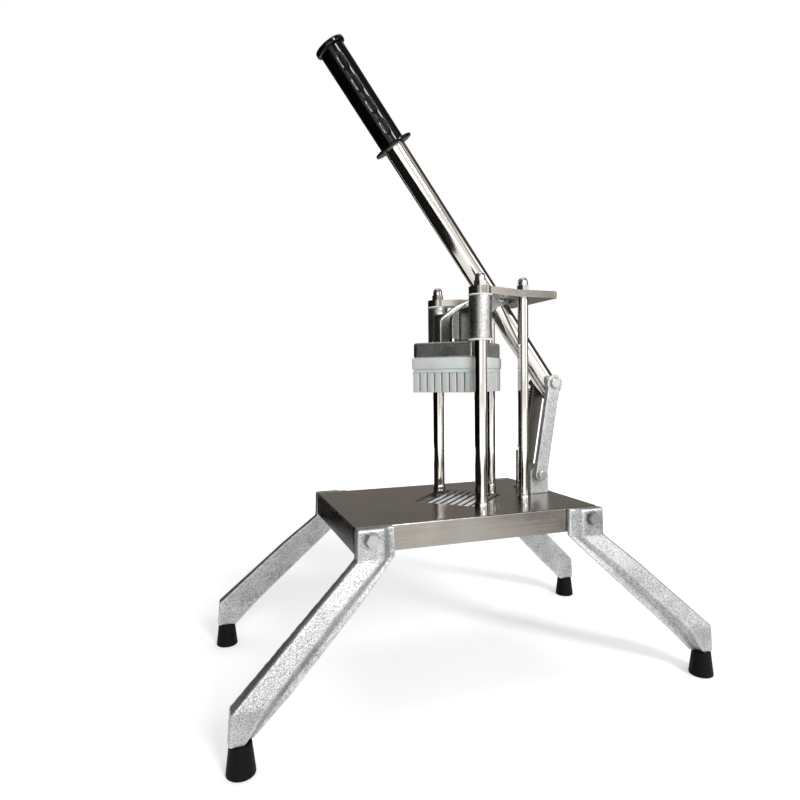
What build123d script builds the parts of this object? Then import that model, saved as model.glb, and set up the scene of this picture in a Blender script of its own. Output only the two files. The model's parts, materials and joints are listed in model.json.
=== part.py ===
from build123d import *
import os
from math import atan2, degrees, hypot, sqrt

# Lever press that pushes a potato through a square knife grid.
# Millimetres. +X runs along the tray towards the rocker links, -Y is the front, +Z is up.
# The origin is on the floor under the middle of the tray.

os.makedirs("parts", exist_ok=True)

# ---- clearances ------------------------------------------------------------
running = 0.05          # radial, shaft in a moving bore
bolt_play = 0.2         # radial, fastener in a fixed hole
side_gap = 0.3          # between faces that slide past each other
seat_gap = 0.1          # radial, sleeve pushed on a tube
thread_end = 2.0        # thread that shows past a nut
thread_room = 2.0       # empty hole past the end of a thread
overlap = 1.0           # how far joined shapes run into each other
full_round = 0.45       # a fillet's share of a thin rim's thickness

# ---- tray ------------------------------------------------------------------
tray_length = 300.0
tray_width = 205.0
tray_top = 207.0
skirt_height = 28.0
sheet = 2.0
tray_corner = 4.0
tray_edge = 1.5

# ---- knife grid ------------------------------------------------------------
cutter_x = 15.0         # the knife square, the columns and the pusher share this place
grid_side = 88.0
grid_cells = 9
blade_thickness = 0.8
blade_height = 6.5
blade_tier_gap = 0.5
blade_drop = 1.0        # blades lie this far under the tray's sheet
grid_column_gap = 4.5   # between the grid's cut-off corners and a column
knife_frame_wall = 8.0
knife_frame_height = 16.0
frame_nut_gap = 1.0     # between the frame's cut-off corners and a column's nut
knife_stud_radius = 2.0
knife_nut_flats = 7.0
knife_nut_height = 3.2

# ---- columns, posts and bridge ---------------------------------------------
column_radius = 7.5
column_y = 65.0
post_radius = 6.5
post_x = 84.0
post_y = 44.0
stud_radius = 4.0
bridge_bottom = 459.0
bridge_thickness = 8.5
bridge_right = 126.0
bridge_half_width = 58.0
bridge_shoulder_x = 72.0
bridge_slot_right = 92.0
bridge_slot_half_width = 33.0
bridge_corner = 6.0
cap_nut_flats = 14.0
cap_nut_hex_height = 7.0
cap_nut_dome_radius = 6.2
cap_nut_height = 17.5
cap_nut_wall = 6.0      # solid metal over the blind hole
nut_flats = 13.0
nut_height = 6.5

# ---- carriage --------------------------------------------------------------
housing_radius = 13.5
housing_height = 50.6
bush_wall = 2.4
bush_flange = 1.4
bush_flange_radius = 14.0
bush_length = 18.0
block_thickness = 19.0
block_side = 88.0
block_reach = 58.5
block_edge = 3.0
block_column_gap = 2.5  # between the cut-off corners and a column
stroke = 148.0
web_thickness = 16.0
web_height = 41.0
arm_thickness = 9.5
arm_left = -3.0         # left edge where the arm stands on the block
arm_right = 40.0
arm_shoulder_x = 19.5
arm_shoulder_z = 454.5
arm_elbow_z = 437.0
arm_heel = 5.0
arm_corner = 6.0
pivot_x = 64.0
pivot_z = 462.8
pivot_eye_radius = 11.5
pin_radius = 5.0
pin_head_radius = 6.5
pin_head = 4.0
pin_head_edge = 1.0
pivot_nut_height = 4.0
pivot_washer_radius = 8.5

# ---- pusher ----------------------------------------------------------------
flange_side = 93.0
flange_thickness = 13.5
finger_length = 29.0
finger_slot = 1.6       # a blade passes with room on both sides
finger_edge_gap = 1.0   # between the outer fingers and the cut-off corners of the grid
pusher_screw_x = 21.0
pusher_screw_y = 33.0
pusher_screw_radius = 2.5
pusher_screw_head = 4.5
pusher_screw_head_height = 3.5
pusher_screw_key = 4.0
pusher_screw_key_depth = 2.0
pusher_screw_depth = 9.0

# ---- lever -----------------------------------------------------------------
lever_radius = 13.5
lever_wall = 2.0
lever_tail = 15.0       # tube beyond the rocker pivot
lever_gap = 1.0         # between the tube and what straddles it
sleeve_radius = 8.5
plug_depth = 4.0
plug_lip = 1.5
grip_start = 358.0      # along the tube from the rocker pivot
grip_length = 136.0
grip_radius = 15.6
grip_end_wall = 8.0
grip_guard_radius = 25.0
grip_guard_thickness = 5.0
grip_rim_radius = 19.0
grip_rim_thickness = 7.0

# ---- rocker links ----------------------------------------------------------
rocker_x = 144.0
rocker_z = 353.0
rocker_foot_x = 124.0
rocker_foot_z = 233.0
link_thickness = 8.4
link_half_width = 8.6
link_top_radius = 11.0
link_bolt_radius = 4.0
bracket_left = 112.5
bracket_right = 140.0
bracket_corner = 2.0
bracket_crown_drop = 2.0    # centre of the round top under the base pin
bracket_screw_radius = 3.0
bracket_screw_head = 5.5
bracket_screw_head_height = 4.0
bracket_screw_key = 5.0
bracket_screw_key_depth = 2.0
bracket_screw_reach = 14.0

# ---- return spring ---------------------------------------------------------
spring_radius = 5.6
spring_wire_radius = 0.9
spring_pitch = 4.2
spring_y = 35.0
spring_stud_radius = 3.0
spring_bar_radius = 2.6       # the round ends that the spring's eyes hang on
spring_stud_x = 126.0
spring_stud_height = 48.0
spring_stud_offset = 7.0    # the stud stands behind the spring
spring_stud_collar = 2.0
spring_stud_flats = 10.0
spring_eye_play = 0.15
spring_stud_reach = 2.5

# ---- legs ------------------------------------------------------------------
foot_out_x = 120.0      # the feet stand out this far past the tray's ends
foot_out_y = 39.5       # and past its sides
foot_height = 29.0
foot_radius = 14.0
foot_top_radius = 10.6
foot_edge = 1.5
leg_thickness = 12.0
leg_toe_thickness = 16.0
leg_top_width = 43.0
leg_rim = 6.0
leg_rim_width = 7.5
leg_bevel_width = 7.0
leg_edge = 2.0
leg_bend_z = 175.0      # where the leg leaves the skirt
leg_bend_out = 1.0      # how far the leg has left the tray's end there
leg_knee_z = 137.0      # where the leg starts its long straight run
leg_knee_inner = -5.0   # from here on along X past the tray's end
leg_knee_outer = 45.0
leg_knee_jog = 13.5     # how far the knee stands out past the skirt
leg_toe_z = 60.0
leg_toe_outer = 129.0
leg_end_inner = 108.0
leg_end_outer = 131.5
leg_knee_slant = 1.5    # the rim and bevel are this much wider on the straight run
leg_toe_slant = 0.6
leg_bolt_inset = 15.5
leg_bolt_z = 195.5
washer_radius = 8.2
washer_thickness = 1.6
bolt_head_flats = 13.0
bolt_head_height = 5.5
foot_stud_depth = 20.0
foot_plate_radius = 7.0
foot_plate_thickness = 2.5
foot_plate_z = 8.0

# ---- worked out from the above ---------------------------------------------
tray_under = tray_top - sheet
half_width = tray_width / 2
tray_end = tray_length / 2
foot_x = tray_end + foot_out_x
foot_y = half_width + foot_out_y
leg_bolt_x = tray_end - leg_bolt_inset
bridge_top = bridge_bottom + bridge_thickness
pitch = grid_side / grid_cells
corner_limit = column_y - column_radius - grid_column_gap
knife_frame_limit = column_y - nut_flats / sqrt(3) - frame_nut_gap
block_limit = column_y - column_radius - block_column_gap
carriage_top = bridge_bottom - side_gap
housing_top = carriage_top - bush_flange
housing_bottom = housing_top - housing_height
block_top = housing_bottom - bush_flange
block_bottom = block_top - block_thickness
arm_inner = lever_radius + lever_gap
arm_outer = arm_inner + arm_thickness
finger_bottom = block_bottom - flange_thickness - finger_length
link_inner = lever_radius + lever_gap
link_outer = link_inner + link_thickness
column_places = [(cutter_x, -column_y), (cutter_x, column_y)]
post_places = [(post_x, -post_y), (post_x, post_y)]
lever_angle = degrees(atan2(pivot_z - rocker_z, rocker_x - pivot_x))
lever_place = Location((rocker_x, 0, rocker_z), (0, lever_angle - 90.0, 0))
pivot_along = hypot(pivot_x - rocker_x, pivot_z - rocker_z)
stud_y = spring_y + spring_stud_offset
bracket_half = (bracket_right - bracket_left) / 2
bracket_middle = (bracket_right + bracket_left) / 2
blade_top = tray_under - blade_drop


def save(shape, name):
    export_step(shape, "parts/" + name + ".step")


def group(solids):
    return Compound(children=list(solids))


def upright(radius, low, high, x=0.0, y=0.0):
    """A round bar along Z."""
    return Pos(x, y, (low + high) / 2) * Cylinder(radius, high - low)


def crosswise(radius, low, high, x=0.0, z=0.0):
    """A round bar along Y."""
    return Pos(x, (low + high) / 2, z) * Rot(90, 0, 0) * Cylinder(radius, high - low)


def block(x0, x1, y0, y1, z0, z1):
    return Pos((x0 + x1) / 2, (y0 + y1) / 2, (z0 + z1) / 2) * Box(x1 - x0, y1 - y0, z1 - z0)


def slab_xz(sketch, low, high):
    """A plate standing in the XZ plane, from Y low to Y high."""
    return extrude(Plane.XZ.offset(-high) * sketch, high - low)


def slab_xy(sketch, low, high):
    return extrude(Pos(0, 0, low) * sketch, high - low)


def hexagon(flats):
    return RegularPolygon(flats / sqrt(3), 6)


def diamond(side, limit):
    """The knife square, turned 45 degrees, with its front and rear corners cut off short of the columns."""
    square = Rot(0, 0, 45) * Rectangle(side, side)
    return Pos(cutter_x, 0) * (square & Rectangle(2 * side, 2 * limit))


def ring(x, z, radius):
    return Pos(x, z) * Circle(radius)


def bar_outline(x0, z0, r0, x1, z1, r1):
    return make_hull([ring(x0, z0, r0).edge(), ring(x1, z1, r1).edge()])


# ---- tray and what is under it ---------------------------------------------
def knife_stud_places():
    reach = (grid_side + knife_frame_wall) / 2 / sqrt(2)
    return [(cutter_x + i * reach, j * reach) for i in (-1, 1) for j in (-1, 1)]


def bracket_screw_places():
    return [(bracket_middle + i * bracket_half / 2, 0) for i in (-1, 1)]


def leg_signs():
    return [(-1, -1), (1, -1), (-1, 1), (1, 1)]


def make_tray():
    low = tray_top - skirt_height
    outer = block(-tray_end, tray_end, -half_width, half_width, low, tray_top)
    outer = fillet(outer.edges().filter_by(Axis.Z), tray_corner)
    outer = fillet(outer.faces().sort_by(Axis.Z)[-1].edges(), tray_edge)
    inner_x = tray_end - sheet
    inner_y = half_width - sheet
    inner = block(-inner_x, inner_x, -inner_y, inner_y, low, tray_under)
    tray = outer - fillet(inner.edges().filter_by(Axis.Z), tray_corner - sheet)
    tray -= slab_xy(diamond(grid_side, corner_limit), tray_under, tray_top)
    for x, y in column_places + post_places:
        tray -= upright(stud_radius + bolt_play, tray_under, tray_top, x, y)
    for x, y in bracket_screw_places():
        tray -= upright(bracket_screw_radius + bolt_play, tray_under, tray_top, x, y)
    tray -= upright(spring_stud_radius + bolt_play, tray_under, tray_top, spring_stud_x, stud_y)
    for i in (-1, 1):
        tray -= crosswise(stud_radius + bolt_play, -half_width, half_width, i * leg_bolt_x, leg_bolt_z)
    return tray


def make_knife_frame():
    low = tray_under - knife_frame_height
    outline = diamond(grid_side + 2 * knife_frame_wall, knife_frame_limit)
    frame = slab_xy(outline - diamond(grid_side, corner_limit), low, tray_under)
    for x, y in knife_stud_places():
        frame -= upright(knife_stud_radius + bolt_play, low, tray_under, x, y)
    return frame


def make_blades(turn, top):
    opening = slab_xy(diamond(grid_side, corner_limit), top - blade_height, top)
    blades = []
    for i in range(1, grid_cells):
        offset = i * pitch - grid_side / 2
        strip = Pos(0, offset, top - blade_height / 2) * Box(2 * grid_side, blade_thickness, blade_height)
        blade = (Pos(cutter_x, 0, 0) * Rot(0, 0, turn) * strip) & opening
        blades += blade.solids()
    return group(blades)


def make_knife_studs():
    low = tray_under - knife_frame_height - knife_nut_height - thread_end
    return group(upright(knife_stud_radius, low, tray_under, x, y) for x, y in knife_stud_places())


def nut(flats, bore, low, height):
    return slab_xy(hexagon(flats) - Circle(bore), low, low + height)


def make_knife_nuts():
    low = tray_under - knife_frame_height - knife_nut_height
    one = nut(knife_nut_flats, knife_stud_radius + seat_gap, low, knife_nut_height)
    return group(Pos(x, y, 0) * one for x, y in knife_stud_places())


# ---- columns, posts and bridge ---------------------------------------------
def make_column(radius, x, y):
    stud_low = tray_under - nut_height - thread_end
    stud_high = bridge_top + cap_nut_height - cap_nut_wall - thread_room
    column = upright(radius, tray_top, bridge_bottom, x, y)
    return column + upright(stud_radius, stud_low, stud_high, x, y)


def make_column_nuts():
    one = nut(nut_flats, stud_radius + seat_gap, tray_under - nut_height, nut_height)
    return group(Pos(x, y, 0) * one for x, y in column_places + post_places)


def make_cap_nuts():
    dome_start = cap_nut_height - cap_nut_dome_radius
    dome = Pos(0, 0, dome_start) * Sphere(cap_nut_dome_radius)
    body = upright(cap_nut_dome_radius, 0, dome_start) + dome
    body += slab_xy(hexagon(cap_nut_flats), 0, cap_nut_hex_height)
    body -= upright(stud_radius + seat_gap, 0, cap_nut_height - cap_nut_wall)
    return group(Pos(x, y, bridge_top) * body for x, y in column_places + post_places)


def make_bridge():
    nose = housing_radius
    edge = column_y + nose
    right = bridge_right
    wide = bridge_half_width
    outer = Polygon(
        (cutter_x, -edge),
        (bridge_shoulder_x, -wide),
        (right, -wide),
        (right, wide),
        (bridge_shoulder_x, wide),
        (cutter_x, edge),
        align=None,
    )
    inner = column_y - nose
    slot = bridge_slot_half_width
    gap = Polygon(
        (cutter_x - nose, -inner),
        (cutter_x, -inner),
        (bridge_shoulder_x, -slot),
        (bridge_slot_right, -slot),
        (bridge_slot_right, slot),
        (bridge_shoulder_x, slot),
        (cutter_x, inner),
        (cutter_x - nose, inner),
        align=None,
    )
    outline = outer - gap
    for x, y in column_places:
        outline += Pos(x, y) * Circle(nose)
    corners = outline.vertices().sort_by(Axis.X)[-2:]
    outline = fillet(corners, bridge_corner)
    for x, y in column_places + post_places:
        outline -= Pos(x, y) * Circle(stud_radius + bolt_play)
    return slab_xy(outline, bridge_bottom, bridge_top)


# ---- carriage and pusher ---------------------------------------------------
def pusher_screw_places():
    return [(cutter_x + i * pusher_screw_x, j * pusher_screw_y) for i in (-1, 1) for j in (-1, 1)]


def arm_outline():
    """One arm seen from the front: up off the block, over a shoulder, to the eye that holds the lever."""
    root = block_top - overlap
    plate = Polygon(
        (arm_left, root),
        (arm_right, root),
        (arm_right + arm_heel, arm_elbow_z),
        (pivot_x + pivot_eye_radius, pivot_z),
        (pivot_x, pivot_z + pivot_eye_radius),
        (arm_shoulder_x, arm_shoulder_z),
        (arm_left, arm_elbow_z),
        align=None,
    )
    plate = fillet(plate.vertices().sort_by(Axis.X)[:2].sort_by(Axis.Y)[-1:], arm_corner)
    return plate + ring(pivot_x, pivot_z, pivot_eye_radius)


def make_carriage():
    reach = Pos(cutter_x, 0) * Rectangle(2 * block_reach, 2 * block_side)
    head = diamond(block_side, block_limit) & reach
    body = slab_xy(head, block_bottom, block_top)
    body = fillet(body.faces().sort_by(Axis.Z)[-1].edges(), block_edge)
    arm = arm_outline()
    half = web_thickness / 2
    web_top = block_top + web_height
    for side in (-1, 1):
        low, high = sorted((side * arm_inner, side * arm_outer))
        body += slab_xz(arm, low, high)
        low, high = sorted((side * (arm_outer - overlap), side * (column_y - column_radius)))
        web = block(cutter_x - half, cutter_x + half, low, high, block_top - overlap, web_top)
        body += web
        body += upright(housing_radius, housing_bottom, housing_top, cutter_x, side * column_y)
    for x, y in column_places:
        body -= upright(bush_flange_radius + seat_gap, block_top, housing_bottom, x, y)
        body -= upright(column_radius + bush_wall + seat_gap, housing_bottom, housing_top, x, y)
    body -= crosswise(pin_radius + seat_gap, -arm_outer, arm_outer, pivot_x, pivot_z)
    for x, y in pusher_screw_places():
        body -= upright(pusher_screw_radius + bolt_play, block_bottom, block_top, x, y)
    return body


def make_bushes(y):
    """A flanged bush pressed in from each end of one housing."""
    bore = Circle(column_radius + running)
    sleeve = Circle(column_radius + bush_wall) - bore
    collar = Circle(bush_flange_radius) - bore
    lower = slab_xy(collar, block_top, housing_bottom)
    lower += slab_xy(sleeve, housing_bottom, housing_bottom + bush_length)
    upper = slab_xy(collar, housing_top, carriage_top)
    upper += slab_xy(sleeve, housing_top - bush_length, housing_top)
    return group(Pos(cutter_x, y, 0) * one for one in (lower, upper))


def make_pusher():
    top = block_bottom
    step = top - flange_thickness
    finger_side = grid_side - finger_slot
    fingers = slab_xy(diamond(finger_side, corner_limit - finger_edge_gap), finger_bottom, step)
    for turn in (45, -45):
        for i in range(1, grid_cells):
            offset = i * pitch - grid_side / 2
            slot = Pos(0, offset, step - finger_length / 2) * Box(2 * grid_side, finger_slot, finger_length)
            fingers -= Pos(cutter_x, 0, 0) * Rot(0, 0, turn) * slot
    corner = grid_side / sqrt(2) - pitch / sqrt(2)
    kept = [s for s in fingers.solids() if abs(s.center().Y) < corner - pitch / 4]
    flange = slab_xy(diamond(flange_side, block_limit), step, top)
    body = flange + kept
    for x, y in pusher_screw_places():
        body -= upright(pusher_screw_radius + seat_gap, top - pusher_screw_depth - thread_room, top, x, y)
    return body


def make_pusher_screws():
    low = block_bottom - pusher_screw_depth
    one = upright(pusher_screw_radius, low, block_top)
    high = block_top + pusher_screw_head_height
    head = upright(pusher_screw_head, block_top, high)
    head -= slab_xy(hexagon(pusher_screw_key), high - pusher_screw_key_depth, high)
    return group(Pos(x, y, 0) * (one + head) for x, y in pusher_screw_places())


def make_pivot_bolt():
    """A headed bolt through both arms, with its washer and thin lock nut behind, clear of the bridge."""
    face = arm_outer + washer_thickness
    end = face + pivot_nut_height
    bolt = crosswise(pin_radius, -arm_outer, end + overlap, pivot_x, pivot_z)
    head = crosswise(pin_head_radius, -arm_outer - pin_head, -arm_outer, pivot_x, pivot_z)
    bolt += fillet(head.edges().filter_by(GeomType.CIRCLE), pin_head_edge)
    bolt += crosswise(pivot_washer_radius, arm_outer, face, pivot_x, pivot_z)
    return bolt + slab_xz(Pos(pivot_x, pivot_z) * hexagon(nut_flats), face, end)


# ---- lever -----------------------------------------------------------------
def lever_cross_bar(radius, along):
    """A round bar across the tube, as wide as the tube."""
    return Pos(0, 0, along) * crosswise(radius, -lever_radius, lever_radius)


def make_lever_tube():
    high = grip_start + grip_length - grip_end_wall - seat_gap
    tube = upright(lever_radius, -lever_tail, high)
    tube -= upright(lever_radius - lever_wall, -lever_tail, high)
    for along in (0.0, pivot_along):
        tube -= lever_cross_bar(sleeve_radius + seat_gap, along)
    return lever_place * tube


def make_sleeve(along, bore):
    return lever_place * (lever_cross_bar(sleeve_radius, along) - lever_cross_bar(bore, along))


def make_end_plug():
    plug = upright(lever_radius - lever_wall - seat_gap, -lever_tail, -lever_tail + plug_depth)
    return lever_place * (plug + upright(lever_radius, -lever_tail - plug_lip, -lever_tail))


def make_grip():
    end = grip_start + grip_length
    body = upright(grip_radius, grip_start, end)
    guard = upright(grip_guard_radius, grip_start, grip_start + grip_guard_thickness)
    body += fillet(guard.edges().filter_by(GeomType.CIRCLE), grip_guard_thickness * full_round)
    rim = upright(grip_rim_radius, end - grip_rim_thickness, end)
    body += fillet(rim.edges().filter_by(GeomType.CIRCLE), grip_rim_thickness * full_round)
    body -= upright(lever_radius + seat_gap, grip_start, end - grip_end_wall)
    return lever_place * body


# ---- rocker links ----------------------------------------------------------
def make_link(side):
    outline = bar_outline(rocker_x, rocker_z, link_half_width, rocker_foot_x, rocker_foot_z, link_half_width)
    outline += ring(rocker_x, rocker_z, link_top_radius)
    outline -= ring(rocker_x, rocker_z, link_bolt_radius + seat_gap)
    outline -= ring(rocker_foot_x, rocker_foot_z, pin_radius + running)
    low, high = sorted((side * link_inner, side * link_outer))
    return slab_xz(outline, low, high)


def make_link_bolt(side, reach):
    """A shouldered bolt in the top eye of one link; reach is how far a plain end stands outside its head."""
    low, high = sorted((side * link_inner, side * link_outer))
    bolt = crosswise(link_bolt_radius, low, high, rocker_x, rocker_z)
    low, high = sorted((side * link_outer, side * (link_outer + pin_head)))
    head = crosswise(pin_head_radius, low, high, rocker_x, rocker_z)
    bolt += fillet(head.edges().filter_by(GeomType.CIRCLE), pin_head_edge)
    if reach > 0:
        face = link_outer + pin_head
        low, high = sorted((side * (face - overlap), side * (face + reach)))
        bolt += crosswise(spring_bar_radius, low, high, rocker_x, rocker_z)
    return bolt


def make_bracket():
    crown = rocker_foot_z - bracket_crown_drop
    outline = ring(bracket_middle, crown, bracket_half)
    outline += Pos(bracket_middle, (tray_top + crown) / 2) * Rectangle(2 * bracket_half, crown - tray_top)
    bracket = slab_xz(outline, -lever_radius, lever_radius)
    bracket = fillet(bracket.edges().filter_by(Axis.Z), bracket_corner)
    bracket -= crosswise(pin_radius + seat_gap, -lever_radius, lever_radius, rocker_foot_x, rocker_foot_z)
    for x, y in bracket_screw_places():
        bracket -= upright(bracket_screw_radius + seat_gap, tray_top, tray_top + bracket_screw_reach, x, y)
    return bracket


def make_bracket_screws():
    low = tray_under - bracket_screw_head_height
    one = upright(bracket_screw_radius, tray_under, tray_top + bracket_screw_reach - thread_room)
    one += upright(bracket_screw_head, low, tray_under)
    one -= slab_xy(hexagon(bracket_screw_key), low, low + bracket_screw_key_depth)
    return group(Pos(x, y, 0) * one for x, y in bracket_screw_places())


def make_base_pin():
    face = link_outer + side_gap
    pin = crosswise(pin_radius, -face, face, rocker_foot_x, rocker_foot_z)
    for side in (-1, 1):
        low, high = sorted((side * face, side * (face + pin_head)))
        head = crosswise(pin_head_radius, low, high, rocker_foot_x, rocker_foot_z)
        pin += fillet(head.edges().filter_by(GeomType.CIRCLE), pin_head_edge)
    return pin


# ---- return spring ---------------------------------------------------------
def spring_hook_z():
    return tray_top + spring_stud_height


def make_spring_stud():
    """A bolt through the tray with a short bar across its top that the spring's lower eye hangs on."""
    x = spring_stud_x
    high = spring_hook_z() + spring_stud_radius + overlap
    low = tray_under - nut_height
    stud = upright(spring_stud_radius, low, high, x, stud_y)
    stud += crosswise(spring_bar_radius, spring_y - spring_stud_reach, stud_y, x, spring_hook_z())
    stud += upright(2 * spring_stud_radius, tray_top, tray_top + spring_stud_collar, x, stud_y)
    return stud + slab_xy(Pos(x, stud_y) * hexagon(spring_stud_flats), low, tray_under)


def make_spring():
    """A close coil with a round eye at each end, along its own Z from the lower eye."""
    span_x = rocker_x - spring_stud_x
    span_z = rocker_z - spring_hook_z()
    span = hypot(span_x, span_z)
    eye = spring_bar_radius + spring_eye_play + spring_wire_radius
    turns = int((span - 4 * eye) / spring_pitch)
    length = turns * spring_pitch
    start = (span - length) / 2
    path = Helix(spring_pitch, length, spring_radius)
    section = Plane(origin=path @ 0, z_dir=path % 0) * Circle(spring_wire_radius)
    spring = Pos(0, 0, start) * sweep(section, path=path, is_frenet=True)
    for z, end in ((0.0, start), (span, start + length)):
        hoop = Pos(0, 0, z) * Rot(90, 0, 0) * Torus(eye, spring_wire_radius)
        toward = 1 if end > z else -1
        neck = upright(spring_wire_radius, min(z + toward * eye, end), max(z + toward * eye, end))
        arm = Pos(spring_radius / 2, 0, end) * Rot(0, 90, 0) * Cylinder(spring_wire_radius, spring_radius)
        spring += hoop
        spring += neck
        spring += arm
    lean = degrees(atan2(span_x, span_z))
    return Location((spring_stud_x, spring_y, spring_hook_z()), (0, lean, 0)) * spring


# ---- legs ------------------------------------------------------------------
def leg_section(z, inner, outer, back, front, stretch=1.0):
    """One level cut through a leg: a flat rim on the inner side, a bevel, then the raised face."""
    rim = inner + leg_rim_width * stretch
    face = rim + leg_bevel_width * stretch
    outline = Polygon(
        (inner, back),
        (inner, back + leg_rim),
        (rim, back + leg_rim),
        (face, front),
        (outer - leg_edge, front),
        (outer, front - leg_edge),
        (outer, back),
        align=None,
    )
    return Pos(0, 0, z) * outline


def make_leg():
    """The rear right leg; the others are its mirror images."""
    inner = tray_end - leg_top_width
    knee_inner = tray_end + leg_knee_inner
    end_inner = tray_end + leg_end_inner
    back = half_width
    front = back + leg_thickness
    knee_back = back + leg_knee_jog
    knee_front = knee_back + leg_thickness
    toe_back = foot_y - leg_toe_thickness / 2
    toe_front = foot_y + leg_toe_thickness / 2
    run = (leg_knee_z - leg_toe_z) / (leg_knee_z - foot_height)
    toe_inner = knee_inner + (end_inner - knee_inner) * run
    knee_outer = tray_end + leg_knee_outer
    toe_outer = tray_end + leg_toe_outer
    sections = [
        leg_section(tray_top, inner, tray_end, back, front),
        leg_section(leg_bend_z, inner, tray_end + leg_bend_out, back, front),
        leg_section(leg_knee_z, knee_inner, knee_outer, knee_back, knee_front, leg_knee_slant),
        leg_section(leg_toe_z, toe_inner, toe_outer, toe_back, toe_front, leg_knee_slant),
        leg_section(foot_height, end_inner, tray_end + leg_end_outer, toe_back, toe_front, leg_toe_slant),
    ]
    leg = loft(sections, ruled=True)
    leg -= crosswise(stud_radius + bolt_play, back, front, leg_bolt_x, leg_bolt_z)
    leg -= upright(stud_radius + seat_gap, foot_height, foot_height + foot_stud_depth, foot_x, foot_y)
    return leg


def placed(shape, sx, sy):
    if sx < 0:
        shape = mirror(shape, about=Plane.YZ)
    if sy < 0:
        shape = mirror(shape, about=Plane.XZ)
    return shape


def make_foot():
    foot = Pos(0, 0, foot_height / 2) * Cone(foot_radius, foot_top_radius, foot_height)
    foot = fillet(foot.edges().sort_by(Axis.Z)[0], foot_edge)
    foot -= upright(stud_radius + seat_gap, foot_plate_z, foot_height)
    foot -= upright(foot_plate_radius + seat_gap, foot_plate_z, foot_plate_z + foot_plate_thickness)
    return foot


def make_foot_stud():
    stud = upright(stud_radius, foot_plate_z, foot_height + foot_stud_depth - thread_room)
    return stud + upright(foot_plate_radius, foot_plate_z, foot_plate_z + foot_plate_thickness)


def make_leg_bolt():
    face = half_width + leg_thickness + washer_thickness
    tip = half_width - sheet - nut_height - thread_end
    bolt = crosswise(stud_radius, tip, face, leg_bolt_x, leg_bolt_z)
    head = slab_xz(Pos(leg_bolt_x, leg_bolt_z) * hexagon(bolt_head_flats), face, face + bolt_head_height)
    return bolt + head


def make_leg_washer():
    face = half_width + leg_thickness
    outline = Circle(washer_radius) - Circle(stud_radius + bolt_play)
    return slab_xz(Pos(leg_bolt_x, leg_bolt_z) * outline, face, face + washer_thickness)


def make_leg_nut():
    face = half_width - sheet
    outline = hexagon(nut_flats) - Circle(stud_radius + seat_gap)
    return slab_xz(Pos(leg_bolt_x, leg_bolt_z) * outline, face - nut_height, face)


# ---- the whole press -------------------------------------------------------
save(make_tray(), "base_tray")
save(make_knife_frame(), "knife_frame")
save(make_blades(45, blade_top), "knife_blades_upper")
save(make_blades(-45, blade_top - blade_height - blade_tier_gap), "knife_blades_lower")
save(make_knife_studs(), "knife_frame_studs")
save(make_knife_nuts(), "knife_frame_nuts")

for label, (x, y) in zip(("front", "rear"), column_places):
    save(make_column(column_radius, x, y), "guide_column_" + label)
    save(make_bushes(y), "guide_bushes_" + label)
for label, (x, y) in zip(("front", "rear"), post_places):
    save(make_column(post_radius, x, y), "support_post_" + label)
save(make_column_nuts(), "column_nuts")
save(make_bridge(), "top_bridge")
save(make_cap_nuts(), "cap_nuts")

save(make_carriage(), "carriage")
save(make_pusher(), "pusher_block")
save(make_pusher_screws(), "pusher_screws")
save(make_pivot_bolt(), "lever_pivot_bolt")

save(make_lever_tube(), "lever_tube")
save(make_sleeve(pivot_along, pin_radius + running), "lever_pivot_sleeve")
save(make_sleeve(0.0, link_bolt_radius + seat_gap), "lever_end_sleeve")
save(make_end_plug(), "lever_end_plug")
save(make_grip(), "lever_grip")

for label, side in (("front", -1), ("rear", 1)):
    save(make_link(side), "rocker_link_" + label)
save(make_link_bolt(-1, 0.0), "link_bolt_front")
save(make_link_bolt(1, spring_y + spring_stud_reach - link_outer - pin_head), "link_bolt_rear")
save(make_bracket(), "link_bracket")
save(make_bracket_screws(), "bracket_screws")
save(make_base_pin(), "link_base_pin")
save(make_spring(), "return_spring")
save(make_spring_stud(), "spring_stud")

leg = make_leg()
foot = Pos(foot_x, foot_y, 0) * make_foot()
foot_stud = Pos(foot_x, foot_y, 0) * make_foot_stud()
for sx, sy in leg_signs():
    label = ("front_" if sy < 0 else "rear_") + ("left" if sx < 0 else "right")
    save(placed(leg, sx, sy), "leg_" + label)
    save(placed(foot, sx, sy), "foot_" + label)
save(group(placed(foot_stud, sx, sy) for sx, sy in leg_signs()), "foot_studs")
save(group(placed(make_leg_bolt(), sx, sy) for sx, sy in leg_signs()), "leg_bolts")
save(group(placed(make_leg_washer(), sx, sy) for sx, sy in leg_signs()), "leg_washers")
save(group(placed(make_leg_nut(), sx, sy) for sx, sy in leg_signs()), "leg_nuts")
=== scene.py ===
import bpy
import math
from mathutils import Matrix, Vector
import json

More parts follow.
